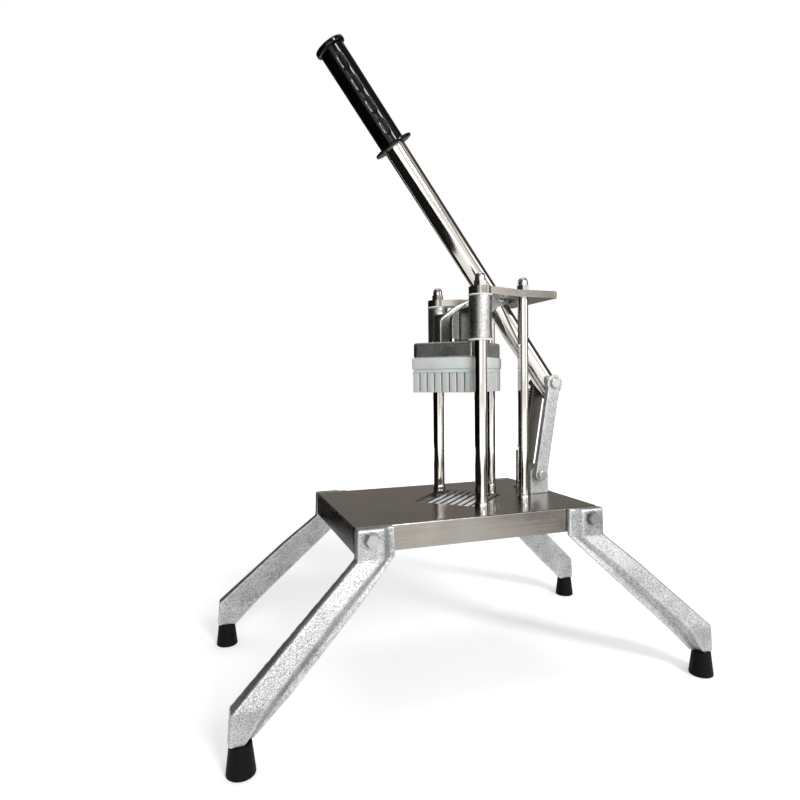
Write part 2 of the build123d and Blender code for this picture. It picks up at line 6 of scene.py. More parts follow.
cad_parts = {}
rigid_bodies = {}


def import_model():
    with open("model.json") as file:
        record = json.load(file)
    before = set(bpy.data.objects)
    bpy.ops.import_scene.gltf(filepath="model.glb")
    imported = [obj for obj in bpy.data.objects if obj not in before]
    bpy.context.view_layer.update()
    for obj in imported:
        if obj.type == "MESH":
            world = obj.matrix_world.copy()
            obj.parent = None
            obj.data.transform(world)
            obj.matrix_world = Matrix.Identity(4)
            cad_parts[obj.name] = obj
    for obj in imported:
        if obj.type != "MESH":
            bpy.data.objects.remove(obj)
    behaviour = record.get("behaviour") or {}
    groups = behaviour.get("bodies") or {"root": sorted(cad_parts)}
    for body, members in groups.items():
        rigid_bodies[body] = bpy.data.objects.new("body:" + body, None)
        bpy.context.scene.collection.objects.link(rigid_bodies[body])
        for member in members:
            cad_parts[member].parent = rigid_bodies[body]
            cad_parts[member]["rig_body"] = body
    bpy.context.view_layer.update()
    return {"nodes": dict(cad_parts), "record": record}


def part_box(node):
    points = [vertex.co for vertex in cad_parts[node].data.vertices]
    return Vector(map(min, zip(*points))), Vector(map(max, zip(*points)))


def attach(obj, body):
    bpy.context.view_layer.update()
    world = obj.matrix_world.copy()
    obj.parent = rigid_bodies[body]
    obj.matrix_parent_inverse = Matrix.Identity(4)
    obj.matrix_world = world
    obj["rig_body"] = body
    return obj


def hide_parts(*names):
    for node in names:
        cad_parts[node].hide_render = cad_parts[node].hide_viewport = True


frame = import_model()
nodes = frame["nodes"]
print("frame loaded:", len(nodes), "nodes")


def middleOf(nodeName):
    low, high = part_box(nodeName)
    return (low + high) / 2


def newPiece(name, points, faces, material):
    mesh = bpy.data.meshes.new(name)
    mesh.from_pydata([tuple(point) for point in points], [], faces)
    mesh.validate()
    mesh.materials.append(material)
    piece = bpy.data.objects.new(name, mesh)
    bpy.context.scene.collection.objects.link(piece)
    return piece


# short ways to add shader nodes
mixSockets = {"share": 0, "first": 6, "second": 7, "result": 2}    # where a Mix node keeps its colours


def objectSpot(tree):
    return tree.nodes.new("ShaderNodeTexCoord").outputs["Object"]


def noiseAt(tree, spot, scale, detail, roughness=0.6):
    noise = tree.nodes.new("ShaderNodeTexNoise")
    noise.inputs["Detail"].default_value = detail
    noise.inputs["Roughness"].default_value = roughness
    tree.links.new(spot, noise.inputs["Vector"])
    if isinstance(scale, float):
        noise.inputs["Scale"].default_value = scale
    else:
        tree.links.new(scale, noise.inputs["Scale"])
    return noise.outputs["Fac"]


def spread(tree, value, fromRange, toLow=0.0, toHigh=1.0):
    ranged = tree.nodes.new("ShaderNodeMapRange")
    ranged.inputs["From Min"].default_value, ranged.inputs["From Max"].default_value = fromRange
    for socket, number in (("To Min", toLow), ("To Max", toHigh)):
        if isinstance(number, float):
            ranged.inputs[socket].default_value = number
        else:
            tree.links.new(number, ranged.inputs[socket])
    tree.links.new(value, ranged.inputs["Value"])
    return ranged.outputs["Result"]


def combine(tree, operation, first, second):
    mathStep = tree.nodes.new("ShaderNodeMath")
    mathStep.operation = operation
    for socket, number in zip(mathStep.inputs, (first, second)):
        if isinstance(number, float):
            socket.default_value = number
        else:
            tree.links.new(number, socket)
    return mathStep.outputs[0]


def weighted(tree, first, firstShare, second, secondShare):
    firstPart = combine(tree, "MULTIPLY", first, firstShare)
    return combine(tree, "ADD", firstPart, combine(tree, "MULTIPLY", second, secondShare))


def blendColors(tree, share, first, second):
    mix = tree.nodes.new("ShaderNodeMix")
    mix.data_type = "RGBA"
    for label, value in (("share", share), ("first", first), ("second", second)):
        tree.links.new(value, mix.inputs[mixSockets[label]])
    return mix.outputs[mixSockets["result"]]


# the camera and its surroundings: plain, pale and softly lit
cameraSetup = {
    "place": Vector((-0.2982, -0.6930, 0.3612)),
    "yaw": math.radians(18.71),      # turned from +Y towards +X
    "pitch": math.radians(-2.07),
    "roll": math.radians(-0.63),
    "focalShare": 0.7384,            # focal length over the picture's width
    "sensorWidth": 36.0,
    "nearestSeen": 0.01,
}

studio = {
    "backgroundColor": (1.0, 1.0, 1.0),
    "fillStrength": 0.42,            # what the surroundings give to dull surfaces
    "floorColor": (0.90, 0.90, 0.90),
    "floorRoughness": 0.9,
    "floorSize": 16.0,
    "glowNear": 0.30,                # the floor's own glow close to the object, which keeps it pale there
    "glowFar": 1.0,                  # and further out, where it runs into the background
    "glowRange": (0.5, 2.2),         # metres from the middle over which it grows
    "mirroredGlow": 0.7,             # share of that glow that metal shows
    "aimHeight": 0.36,               # the height that every lamp points at
}

softboxes = {                        # place, width, length, power in watts, the way its long side runs
    "keyLamp": ((1.08, -4.36, 2.83), 0.75, 2.2, 170.0, (-0.589, 0.0, 0.808)),
    "sideLamp": ((-1.10, -3.20, 0.95), 1.2, 1.2, 12.0, (0.0, 0.0, 1.0)),
    "fillLamp": ((1.6, -1.0, 0.8), 0.8, 1.2, 4.0, (0.0, 0.0, 1.0)),
    "topLamp": ((0.1, 0.2, 2.0), 1.3, 1.3, 7.0, (0.0, 1.0, 0.0)),
}

# the cards that bright metal mirrors, with a gap in the upper front ones for the key lamp
tent = {
    "radius": 2.3,
    "low": -0.2,
    "high": 2.7,
    "split": 0.85,                   # the upper cards start here and leftCard ends here
    "stepAngle": 8.0,                # degrees to each flat stretch of a curved card
    "panels": {                      # start and end in degrees from +X towards +Y, then the tone
        "rightFrontCard": (-48.0, -20.0, (0.62, 0.59, 0.55)),
        "rightCard": (-20.0, 45.0, (0.06, 0.055, 0.05)),
        "backCard": (45.0, 93.0, (0.25, 0.235, 0.21)),
        "leftCard": (93.0, 222.0, (0.003, 0.003, 0.003)),
        "upperLeftCard": (93.0, 222.0, (0.07, 0.067, 0.063)),
        "upperFrontCard": (222.0, 266.0, (0.38, 0.365, 0.345)),
        "upperNearRightCard": (300.0, 312.0, (0.38, 0.365, 0.345)),
    },
    "flats": {                       # low and high corner, height, tone
        "ceilingCard": ((-2.4, -2.4), (2.4, 2.4), 2.72, (0.13, 0.12, 0.11)),
        "leftFloorCard": ((-2.6, -1.5), (-0.60, 1.7), 0.002, (0.010, 0.010, 0.009)),
        "leftNearFloorCard": ((-0.60, 0.33), (-0.20, 1.7), 0.002, (0.010, 0.010, 0.009)),
        "farRightFloorCard": ((1.5, -1.2), (3.4, 2.0), 0.002, (0.03, 0.028, 0.025)),
        "backRightFloorCard": ((0.6, -0.28), (1.5, 2.0), 0.002, (0.05, 0.047, 0.042)),
        "rightFloorCard": ((0.44, -1.7), (1.5, -0.28), 0.002, (0.20, 0.185, 0.16)),
    },
}


def makeCamera():
    yaw, pitch, roll = cameraSetup["yaw"], cameraSetup["pitch"], cameraSetup["roll"]
    ahead = Vector((math.sin(yaw) * math.cos(pitch), math.cos(yaw) * math.cos(pitch), math.sin(pitch)))
    level = Vector((math.cos(yaw), -math.sin(yaw), 0.0))
    above = level.cross(ahead)
    right = level * math.cos(roll) + above * math.sin(roll)
    up = above * math.cos(roll) - level * math.sin(roll)
    data = bpy.data.cameras.new("viewCamera")
    data.sensor_width = cameraSetup["sensorWidth"]
    data.lens = cameraSetup["focalShare"] * cameraSetup["sensorWidth"]
    data.clip_start = cameraSetup["nearestSeen"]
    camera = bpy.data.objects.new("viewCamera", data)
    bpy.context.scene.collection.objects.link(camera)
    turn = Matrix((right, up, -ahead)).transposed().to_4x4()
    camera.matrix_world = Matrix.Translation(cameraSetup["place"]) @ turn
    bpy.context.scene.camera = camera


def makeWorld():
    world = bpy.data.worlds.new("paleStudio")
    world.use_nodes = True
    tree = world.node_tree
    tree.nodes.clear()
    path = tree.nodes.new("ShaderNodeLightPath")
    direct = combine(tree, "MAXIMUM", path.outputs["Is Camera Ray"], path.outputs["Is Glossy Ray"])
    seen = combine(tree, "MAXIMUM", direct, path.outputs["Is Transmission Ray"])
    sky = tree.nodes.new("ShaderNodeBackground")
    sky.inputs["Color"].default_value = (*studio["backgroundColor"], 1.0)
    tree.links.new(spread(tree, seen, (0.0, 1.0), studio["fillStrength"], 1.0), sky.inputs["Strength"])
    out = tree.nodes.new("ShaderNodeOutputWorld")
    tree.links.new(sky.outputs[0], out.inputs["Surface"])
    bpy.context.scene.world = world


def makeLamps():
    aim = Vector((0.0, 0.0, studio["aimHeight"]))
    for name, (place, width, length, power, along) in softboxes.items():
        data = bpy.data.lights.new(name, "AREA")
        data.shape = "RECTANGLE"
        data.size = width
        data.size_y = length
        data.energy = power
        lamp = bpy.data.objects.new(name, data)
        back = (Vector(place) - aim).normalized()
        side = Vector(along).cross(back).normalized()
        turn = Matrix((side, back.cross(side), back)).transposed().to_4x4()
        lamp.matrix_world = Matrix.Translation(place) @ turn
        bpy.context.scene.collection.objects.link(lamp)


def stagePiece(name, points, faces, material):
    piece = newPiece(name, points, faces, material)
    return piece


def floorFinish():
    material = bpy.data.materials.new("paleFloor")
    material.use_nodes = True
    tree = material.node_tree
    shader = tree.nodes["Principled BSDF"]
    shader.inputs["Base Color"].default_value = (*studio["floorColor"], 1.0)
    shader.inputs["Roughness"].default_value = studio["floorRoughness"]
    shader.inputs["Specular IOR Level"].default_value = 0.0
    shader.inputs["Emission Color"].default_value = (1.0, 1.0, 1.0, 1.0)
    distance = tree.nodes.new("ShaderNodeVectorMath")
    distance.operation = "LENGTH"
    tree.links.new(objectSpot(tree), distance.inputs[0])
    glow = spread(tree, distance.outputs["Value"], studio["glowRange"], studio["glowNear"], studio["glowFar"])
    path = tree.nodes.new("ShaderNodeLightPath")
    mirrored = combine(tree, "MULTIPLY", path.outputs["Is Glossy Ray"], studio["mirroredGlow"])
    direct = combine(tree, "MAXIMUM", path.outputs["Is Camera Ray"], mirrored)
    tree.links.new(combine(tree, "MULTIPLY", direct, glow), shader.inputs["Emission Strength"])
    return material


def cardFinish(name, tone):
    material = bpy.data.materials.new(name)
    material.use_nodes = True
    shader = material.node_tree.nodes["Principled BSDF"]
    shader.inputs["Base Color"].default_value = (0.0, 0.0, 0.0, 1.0)
    shader.inputs["Specular IOR Level"].default_value = 0.0
    shader.inputs["Emission Color"].default_value = (*tone, 1.0)
    shader.inputs["Emission Strength"].default_value = 1.0
    return material


def curvedCard(name, startAngle, endAngle, tone, low, high):
    swing = endAngle - startAngle
    steps = max(2, int(swing / tent["stepAngle"]))
    points = []
    for i in range(steps + 1):
        angle = math.radians(startAngle + swing * i / steps)
        x, y = tent["radius"] * math.cos(angle), tent["radius"] * math.sin(angle)
        points += [(x, y, low), (x, y, high)]
    faces = [(2 * i, 2 * i + 2, 2 * i + 3, 2 * i + 1) for i in range(steps)]
    return stagePiece(name, points, faces, cardFinish(name, tone))


def flatRectangle(name, low, high, height, material):
    (left, front), (right, rear) = low, high
    points = [(left, front, height), (right, front, height), (right, rear, height), (left, rear, height)]
    return stagePiece(name, points, [(0, 1, 2, 3)], material)


def onlyMirrored(card):
    card.visible_camera = False
    card.visible_diffuse = False
    card.visible_shadow = False
    card.visible_transmission = False


def makeSurroundings():
    half = studio["floorSize"] / 2
    flatRectangle("studioFloor", (-half, -half), (half, half), 0.0, floorFinish())
    for name, (startAngle, endAngle, tone) in tent["panels"].items():
        low = tent["split"] if name.startswith("upper") else tent["low"]
        high = tent["split"] if name == "leftCard" else tent["high"]
        onlyMirrored(curvedCard(name, startAngle, endAngle, tone, low, high))
    for name, (low, high, height, tone) in tent["flats"].items():
        onlyMirrored(flatRectangle(name, low, high, height, cardFinish(name, tone)))


bpy.context.scene.view_settings.view_transform = "Standard"
makeCamera()
makeWorld()
makeLamps()
makeSurroundings()
print("studio ready:", len(softboxes), "softboxes,", len(tent["panels"]) + len(tent["flats"]), "cards")


# node groups shared by the finishes
def newGroup(name, inputs, outputs):
    tree = bpy.data.node_groups.new(name, "ShaderNodeTree")
    for label, kind, value in inputs:
        socket = tree.interface.new_socket(label, in_out="INPUT", socket_type=kind)
        socket.default_value = value
    for label, kind in outputs:
        tree.interface.new_socket(label, in_out="OUTPUT", socket_type=kind)
    entry = tree.nodes.new("NodeGroupInput")
    leave = tree.nodes.new("NodeGroupOutput")
    return tree, entry, leave


# sand grain, shallow pits and slow changes of tone
grainTraits = {"detail": 4.0, "roughness": 0.75, "sparkleRange": (0.36, 0.64), "sparkleShare": 0.75,
               "cloudScale": 38.0, "cloudDetail": 3.0, "cloudRange": (0.3, 0.7), "cloudShare": 0.25,
               "pitScale": 520.0, "pitRange": (0.0, 0.35), "grainHeight": 0.8, "pitHeight": 0.35}


def makeCastGrain():
    tree, entry, leave = newGroup("castGrain", [
        ("Grain Size", "NodeSocketFloat", 900.0),
        ("Tone Dark", "NodeSocketColor", (0.4, 0.4, 0.4, 1.0)),
        ("Tone Light", "NodeSocketColor", (0.8, 0.8, 0.8, 1.0)),
        ("Rough Low", "NodeSocketFloat", 0.35),
        ("Rough High", "NodeSocketFloat", 0.6),
    ], [("Color", "NodeSocketColor"), ("Roughness", "NodeSocketFloat"), ("Height", "NodeSocketFloat")])
    ask, traits = entry.outputs, grainTraits
    spot = objectSpot(tree)
    grain = noiseAt(tree, spot, ask["Grain Size"], traits["detail"], traits["roughness"])
    cloud = noiseAt(tree, spot, traits["cloudScale"], traits["cloudDetail"])
    pits = tree.nodes.new("ShaderNodeTexVoronoi")
    pits.inputs["Scale"].default_value = traits["pitScale"]
    tree.links.new(spot, pits.inputs["Vector"])
    pitDepth = spread(tree, pits.outputs["Distance"], traits["pitRange"])
    sparkle = spread(tree, grain, traits["sparkleRange"])
    slow = spread(tree, cloud, traits["cloudRange"])
    tone = weighted(tree, sparkle, traits["sparkleShare"], slow, traits["cloudShare"])
    tree.links.new(blendColors(tree, tone, ask["Tone Dark"], ask["Tone Light"]), leave.inputs["Color"])
    rough = spread(tree, slow, (0.0, 1.0), ask["Rough Low"], ask["Rough High"])
    tree.links.new(rough, leave.inputs["Roughness"])
    height = weighted(tree, grain, traits["grainHeight"], pitDepth, traits["pitHeight"])
    tree.links.new(height, leave.inputs["Height"])
    return tree


# fine parallel lines: Stretch holds how closely they repeat along each axis
brushTraits = {"lineDetail": 2.0, "lineShare": 0.5, "smearScale": 22.0, "smearDetail": 4.0, "smearShare": 0.5,
               "toneRange": (0.35, 0.65)}


def makeBrushLines():
    tree, entry, leave = newGroup("brushLines", [
        ("Stretch", "NodeSocketVector", (4.0, 1500.0, 1500.0)),
        ("Tone Dark", "NodeSocketColor", (0.4, 0.4, 0.4, 1.0)),
        ("Tone Light", "NodeSocketColor", (0.6, 0.6, 0.6, 1.0)),
        ("Rough Low", "NodeSocketFloat", 0.15),
        ("Rough High", "NodeSocketFloat", 0.3),
    ], [("Color", "NodeSocketColor"), ("Roughness", "NodeSocketFloat"), ("Height", "NodeSocketFloat")])
    ask, traits = entry.outputs, brushTraits
    spot = objectSpot(tree)
    scaled = tree.nodes.new("ShaderNodeVectorMath")
    scaled.operation = "MULTIPLY"
    tree.links.new(spot, scaled.inputs[0])
    tree.links.new(ask["Stretch"], scaled.inputs[1])
    lines = noiseAt(tree, scaled.outputs[0], 1.0, traits["lineDetail"])
    smear = noiseAt(tree, spot, traits["smearScale"], traits["smearDetail"])
    tone = weighted(tree, lines, traits["lineShare"], smear, traits["smearShare"])
    shown = spread(tree, tone, traits["toneRange"])
    tree.links.new(blendColors(tree, shown, ask["Tone Dark"], ask["Tone Light"]), leave.inputs["Color"])
    rough = spread(tree, tone, traits["toneRange"], ask["Rough Low"], ask["Rough High"])
    tree.links.new(rough, leave.inputs["Roughness"])
    tree.links.new(lines, leave.inputs["Height"])
    return tree


# a faint cloudy film and small scuffs on moulded and plated pieces
smudgeTraits = {"filmDetail": 5.0, "filmRoughness": 0.65, "toneRange": (0.4, 0.7), "roughRange": (0.35, 0.7),
                "fineScale": 1400.0, "fineDetail": 2.0}


def makeHandSmudge():
    tree, entry, leave = newGroup("handSmudge", [
        ("Size", "NodeSocketFloat", 60.0),
        ("Tone Clean", "NodeSocketColor", (0.5, 0.5, 0.5, 1.0)),
        ("Tone Worn", "NodeSocketColor", (0.6, 0.6, 0.6, 1.0)),
        ("Rough Low", "NodeSocketFloat", 0.2),
        ("Rough High", "NodeSocketFloat", 0.35),
    ], [("Color", "NodeSocketColor"), ("Roughness", "NodeSocketFloat"), ("Height", "NodeSocketFloat")])
    ask, traits = entry.outputs, smudgeTraits
    spot = objectSpot(tree)
    film = noiseAt(tree, spot, ask["Size"], traits["filmDetail"], traits["filmRoughness"])
    fine = noiseAt(tree, spot, traits["fineScale"], traits["fineDetail"])
    shown = spread(tree, film, traits["toneRange"])
    tree.links.new(blendColors(tree, shown, ask["Tone Clean"], ask["Tone Worn"]), leave.inputs["Color"])
    rough = spread(tree, film, traits["roughRange"], ask["Rough Low"], ask["Rough High"])
    tree.links.new(rough, leave.inputs["Roughness"])
    tree.links.new(fine, leave.inputs["Height"])
    return tree


# painted shade: the top edge of each blade row is darkened against its bright sides
bladeShadeTraits = {"sideRange": (0.6, 1.0)}    # depths, in shares of Top Depth, over which the painted shade ends


def makePaintedBladeShade():
    tree, entry, leave = newGroup("paintedBladeShade", [
        ("Color", "NodeSocketColor", (0.9, 0.9, 0.9, 1.0)),
        ("Tone Top Shade", "NodeSocketColor", (0.02, 0.02, 0.02, 1.0)),
        ("Top Height", "NodeSocketFloat", 0.207),
        ("Top Depth", "NodeSocketFloat", 0.002),
    ], [("Color", "NodeSocketColor")])
    ask = entry.outputs
    parts = tree.nodes.new("ShaderNodeSeparateXYZ")
    tree.links.new(objectSpot(tree), parts.inputs[0])
    below = combine(tree, "SUBTRACT", ask["Top Height"], parts.outputs["Z"])
    side = spread(tree, combine(tree, "DIVIDE", below, ask["Top Depth"]), bladeShadeTraits["sideRange"])
    tree.links.new(blendColors(tree, side, ask["Tone Top Shade"], ask["Color"]), leave.inputs["Color"])
    return tree


# rubbed corners shine and get a lighter tone, partly worn metal and partly painted highlight; hollows get
# painted shade
edgeLightAndWearTraits = {"patchScale": 160.0, "patchDetail": 3.0, "patchRange": (0.3, 0.6), "leastPatch": 0.45,
              "ridgeRange": (0.505, 0.56), "hollowShadeRange": (0.495, 0.45), "edgePolish": 0.35}


def makeEdgeWearAndPaintedLight():
    tree, entry, leave = newGroup("edgeWearAndPaintedLight", [
        ("Color", "NodeSocketColor", (0.5, 0.5, 0.5, 1.0)),
        ("Roughness", "NodeSocketFloat", 0.4),
        ("Tone Edge Wear And Highlight", "NodeSocketColor", (0.9, 0.9, 0.9, 1.0)),
        ("Tone Hollow Shade", "NodeSocketColor", (0.1, 0.1, 0.1, 1.0)),
        ("Edge Wear And Highlight Amount", "NodeSocketFloat", 0.6),
        ("Hollow Shade Amount", "NodeSocketFloat", 0.6),
    ], [("Color", "NodeSocketColor"), ("Roughness", "NodeSocketFloat")])
    ask, traits = entry.outputs, edgeLightAndWearTraits
    shape = tree.nodes.new("ShaderNodeNewGeometry").outputs["Pointiness"]
    patches = noiseAt(tree, objectSpot(tree), traits["patchScale"], traits["patchDetail"])
    patchy = spread(tree, patches, traits["patchRange"], traits["leastPatch"], 1.0)
    ridge = combine(tree, "MULTIPLY", spread(tree, shape, traits["ridgeRange"]), patchy)
    edgeHighlightAndWearShare = combine(tree, "MULTIPLY", ridge, ask["Edge Wear And Highlight Amount"])
    # painted shade in the hollows
    hollowShadeShare = combine(tree, "MULTIPLY", spread(tree, shape, traits["hollowShadeRange"]), ask["Hollow Shade Amount"])
    wornAndHighlighted = blendColors(tree, edgeHighlightAndWearShare, ask["Color"], ask["Tone Edge Wear And Highlight"])
    tree.links.new(blendColors(tree, hollowShadeShare, wornAndHighlighted, ask["Tone Hollow Shade"]), leave.inputs["Color"])
    shine = combine(tree, "SUBTRACT", 1.0, combine(tree, "MULTIPLY", edgeHighlightAndWearShare, traits["edgePolish"]))
    tree.links.new(combine(tree, "MULTIPLY", ask["Roughness"], shine), leave.inputs["Roughness"])
    return tree


groups = {"castGrain": makeCastGrain(), "brushLines": makeBrushLines(), "handSmudge": makeHandSmudge(),
          "edgeWearAndPaintedLight": makeEdgeWearAndPaintedLight(), "paintedBladeShade": makePaintedBladeShade()}
print("node groups:", ", ".join(groups))


# each finish: its group and values, then the shader's own numbers; the wear entries give the edges a lighter
# tone, partly painted highlight, and the hollows painted shade
finishes = {
    "brushedStainless": {
        "slot": "brushed_stainless", "group": "brushLines", "metallic": 1.0, "bump": 0.04,
        "values": {"Stretch": (5.0, 1300.0, 1300.0),
                   "Tone Dark": (0.27, 0.252, 0.224), "Tone Light": (0.39, 0.368, 0.33),
                   "Rough Low": 0.16, "Rough High": 0.27}},
    "polishedTube": {
        "slot": "polished_steel", "group": "brushLines", "metallic": 1.0, "bump": 0.015,
        "values": {"Stretch": (900.0, 900.0, 6.0),
                   "Tone Dark": (0.66, 0.63, 0.59), "Tone Light": (0.80, 0.77, 0.73),
                   "Rough Low": 0.05, "Rough High": 0.10}},
    "groundBlade": {
        "slot": "blade_steel", "group": "brushLines", "metallic": 0.45, "bump": 0.02,
        "values": {"Stretch": (60.0, 60.0, 1500.0),
                   "Tone Dark": (0.90, 0.90, 0.90), "Tone Light": (0.97, 0.97, 0.97),
                   "Rough Low": 0.2, "Rough High": 0.32},
        # the blade rows' dark top edges are painted shade
        "paintedTopShade": {"Tone Top Shade": (0.02, 0.02, 0.018), "Top Depth": 0.0022}},
    "platedFastener": {
        "slot": "bright_fasteners", "group": "handSmudge", "metallic": 1.0, "bump": 0.02,
        "values": {"Size": 140.0, "Tone Clean": (0.72, 0.71, 0.69), "Tone Worn": (0.55, 0.54, 0.52),
                   "Rough Low": 0.14, "Rough High": 0.3}},
    "dullBolt": {
        "slot": "bright_fasteners", "group": "handSmudge", "metallic": 1.0, "bump": 0.02,
        "values": {"Size": 140.0, "Tone Clean": (0.50, 0.495, 0.485), "Tone Worn": (0.36, 0.355, 0.345),
                   "Rough Low": 0.28, "Rough High": 0.42}},
    # a dark copy of the plated finish: painted shadow round the leg bolts' heads
    "paintedShadowWasher": {
        "slot": "bright_fasteners", "group": "handSmudge", "metallic": 1.0, "bump": 0.02,
        "values": {"Size": 140.0, "Tone Clean": (0.16, 0.155, 0.15), "Tone Worn": (0.30, 0.29, 0.28),
                   "Rough Low": 0.3, "Rough High": 0.45}},
    "darkCasting": {
        "slot": "dark_casting", "group": "castGrain", "metallic": 1.0, "bump": 0.34,
        "values": {"Grain Size": 620.0,
                   "Tone Dark": (0.19, 0.19, 0.185), "Tone Light": (0.74, 0.735, 0.72),
                   "Rough Low": 0.28, "Rough High": 0.42},
        "wearAndPaintedLight": {"Tone Edge Wear And Highlight": (0.90, 0.895, 0.88), "Tone Hollow Shade": (0.03, 0.03, 0.03),
                 "Edge Wear And Highlight Amount": 0.85, "Hollow Shade Amount": 0.8}},
    "sandCast": {
        "slot": "sand_cast_aluminium", "group": "castGrain", "metallic": 0.9, "bump": 0.55,
        "values": {"Grain Size": 640.0,
                   "Tone Dark": (0.11, 0.113, 0.116), "Tone Light": (0.74, 0.745, 0.75),
                   "Rough Low": 0.34, "Rough High": 0.50},
        "wearAndPaintedLight": {"Tone Edge Wear And Highlight": (0.98, 0.98, 0.98), "Tone Hollow Shade": (0.10, 0.10, 0.10),
                 "Edge Wear And Highlight Amount": 0.7, "Hollow Shade Amount": 0.9}},
    "linkCast": {
        "slot": "sand_cast_aluminium", "group": "castGrain", "metallic": 0.55, "bump": 0.5,
        "values": {"Grain Size": 640.0,
                   "Tone Dark": (0.20, 0.204, 0.208), "Tone Light": (0.72, 0.725, 0.73),
                   "Rough Low": 0.36, "Rough High": 0.50},
        "wearAndPaintedLight": {"Tone Edge Wear And Highlight": (0.95, 0.95, 0.95), "Tone Hollow Shade": (0.10, 0.10, 0.10),
                 "Edge Wear And Highlight Amount": 0.5, "Hollow Shade Amount": 0.65}},
    # a darker, browner copy of linkCast: painted shade for the rear link
    "paintedShadeLinkCast": {
        "slot": "sand_cast_aluminium", "group": "castGrain", "metallic": 0.8, "bump": 0.35,
        "values": {"Grain Size": 640.0,
                   "Tone Dark": (0.06, 0.056, 0.046), "Tone Light": (0.15, 0.142, 0.12),
                   "Rough Low": 0.40, "Rough High": 0.55},
        "wearAndPaintedLight": {"Tone Edge Wear And Highlight": (0.30, 0.29, 0.26), "Tone Hollow Shade": (0.03, 0.03, 0.03),
                 "Edge Wear And Highlight Amount": 0.5, "Hollow Shade Amount": 0.6}},
    "milkyPlastic": {
        "slot": "white_plastic", "group": "handSmudge", "metallic": 0.0,
        "bump": 0.03, "subsurface": 0.35,
        "values": {"Size": 45.0, "Tone Clean": (0.58, 0.61, 0.595), "Tone Worn": (0.53, 0.56, 0.545),
                   "Rough Low": 0.32, "Rough High": 0.45}},
    "bushNylon": {
        "slot": "white_nylon", "group": "handSmudge", "metallic": 0.0, "bump": 0.02, "subsurface": 0.1,
        "values": {"Size": 90.0, "Tone Clean": (0.86, 0.86, 0.84), "Tone Worn": (0.76, 0.76, 0.74),
                   "Rough Low": 0.4, "Rough High": 0.5}},
    "glossGrip": {
        "slot": "black_gloss_plastic", "group": "handSmudge", "metallic": 0.0,
        "bump": 0.012, "specular": 0.28,
        "values": {"Size": 70.0,
                   "Tone Clean": (0.0012, 0.0012, 0.0014), "Tone Worn": (0.003, 0.003, 0.0035),
                   "Rough Low": 0.08, "Rough High": 0.13}},
    "plugPlastic": {
        "slot": "black_plastic", "group": "handSmudge", "metallic": 0.0, "bump": 0.03,
        "values": {"Size": 90.0, "Tone Clean": (0.014, 0.014, 0.014), "Tone Worn": (0.03, 0.03, 0.03),
                   "Rough Low": 0.4, "Rough High": 0.55}},
    "blackedSpring": {
        "slot": "black_spring_steel", "group": "handSmudge", "metallic": 0.0,
        "bump": 0.03, "specular": 0.25,
        "values": {"Size": 220.0,
                   "Tone Clean": (0.002, 0.002, 0.002), "Tone Worn": (0.008, 0.0078, 0.0075),
                   "Rough Low": 0.32, "Rough High": 0.5}},
    "footRubber": {
        "slot": "black_rubber", "group": "handSmudge", "metallic": 0.0, "bump": 0.12, "specular": 0.12,
        "values": {"Size": 120.0,
                   "Tone Clean": (0.0015, 0.0015, 0.0017), "Tone Worn": (0.005, 0.0048, 0.0045),
                   "Rough Low": 0.5, "Rough High": 0.7}},
}


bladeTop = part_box("knife_blades_upper")[1].z
relief = {"bumpDistance": 0.001, "subsurfaceScale": 0.01}    # the same in every finish


def placeGroup(tree, groupName, values):
    effect = tree.nodes.new("ShaderNodeGroup")
    effect.node_tree = groups[groupName]
    for label, value in values.items():
        isTone = label.startswith("Tone")
        effect.inputs[label].default_value = (*value, 1.0) if isTone else value
    return effect


def makeFinish(name, recipe):
    material = bpy.data.materials.new(name)
    material.use_nodes = True
    tree = material.node_tree
    shader = tree.nodes["Principled BSDF"]
    effect = placeGroup(tree, recipe["group"], recipe["values"])
    color, roughness = effect.outputs["Color"], effect.outputs["Roughness"]
    # lighter edges, partly worn metal and partly painted highlight, and painted shade in the hollows
    if "wearAndPaintedLight" in recipe:
        wornAndHighlighted = placeGroup(tree, "edgeWearAndPaintedLight", recipe["wearAndPaintedLight"])
        tree.links.new(color, wornAndHighlighted.inputs["Color"])
        tree.links.new(roughness, wornAndHighlighted.inputs["Roughness"])
        color, roughness = wornAndHighlighted.outputs["Color"], wornAndHighlighted.outputs["Roughness"]
    # painted shade along the blade rows' top edges
    if "paintedTopShade" in recipe:
        topShaded = placeGroup(tree, "paintedBladeShade", recipe["paintedTopShade"])
        topShaded.inputs["Top Height"].default_value = bladeTop
        tree.links.new(color, topShaded.inputs["Color"])
        color = topShaded.outputs["Color"]
    tree.links.new(color, shader.inputs["Base Color"])
    tree.links.new(roughness, shader.inputs["Roughness"])
    bump = tree.nodes.new("ShaderNodeBump")
    bump.inputs["Strength"].default_value = recipe["bump"]
    bump.inputs["Distance"].default_value = relief["bumpDistance"]
    tree.links.new(effect.outputs["Height"], bump.inputs["Height"])
    tree.links.new(bump.outputs["Normal"], shader.inputs["Normal"])
    shader.inputs["Metallic"].default_value = recipe["metallic"]
    shader.inputs["Subsurface Weight"].default_value = recipe.get("subsurface", 0.0)
    shader.inputs["Subsurface Scale"].default_value = relief["subsurfaceScale"]
    shader.inputs["Specular IOR Level"].default_value = recipe.get("specular", 0.5)
    return material


finishNamed = {name: makeFinish(name, recipe) for name, recipe in finishes.items()}
finishOf = {}                        # what each slot wears unless a node has its own finish
for name, recipe in finishes.items():
    finishOf.setdefault(recipe["slot"], finishNamed[name])
slotOf = {part["node"]: part["material_slot"] for part in frame["record"]["subparts"]}


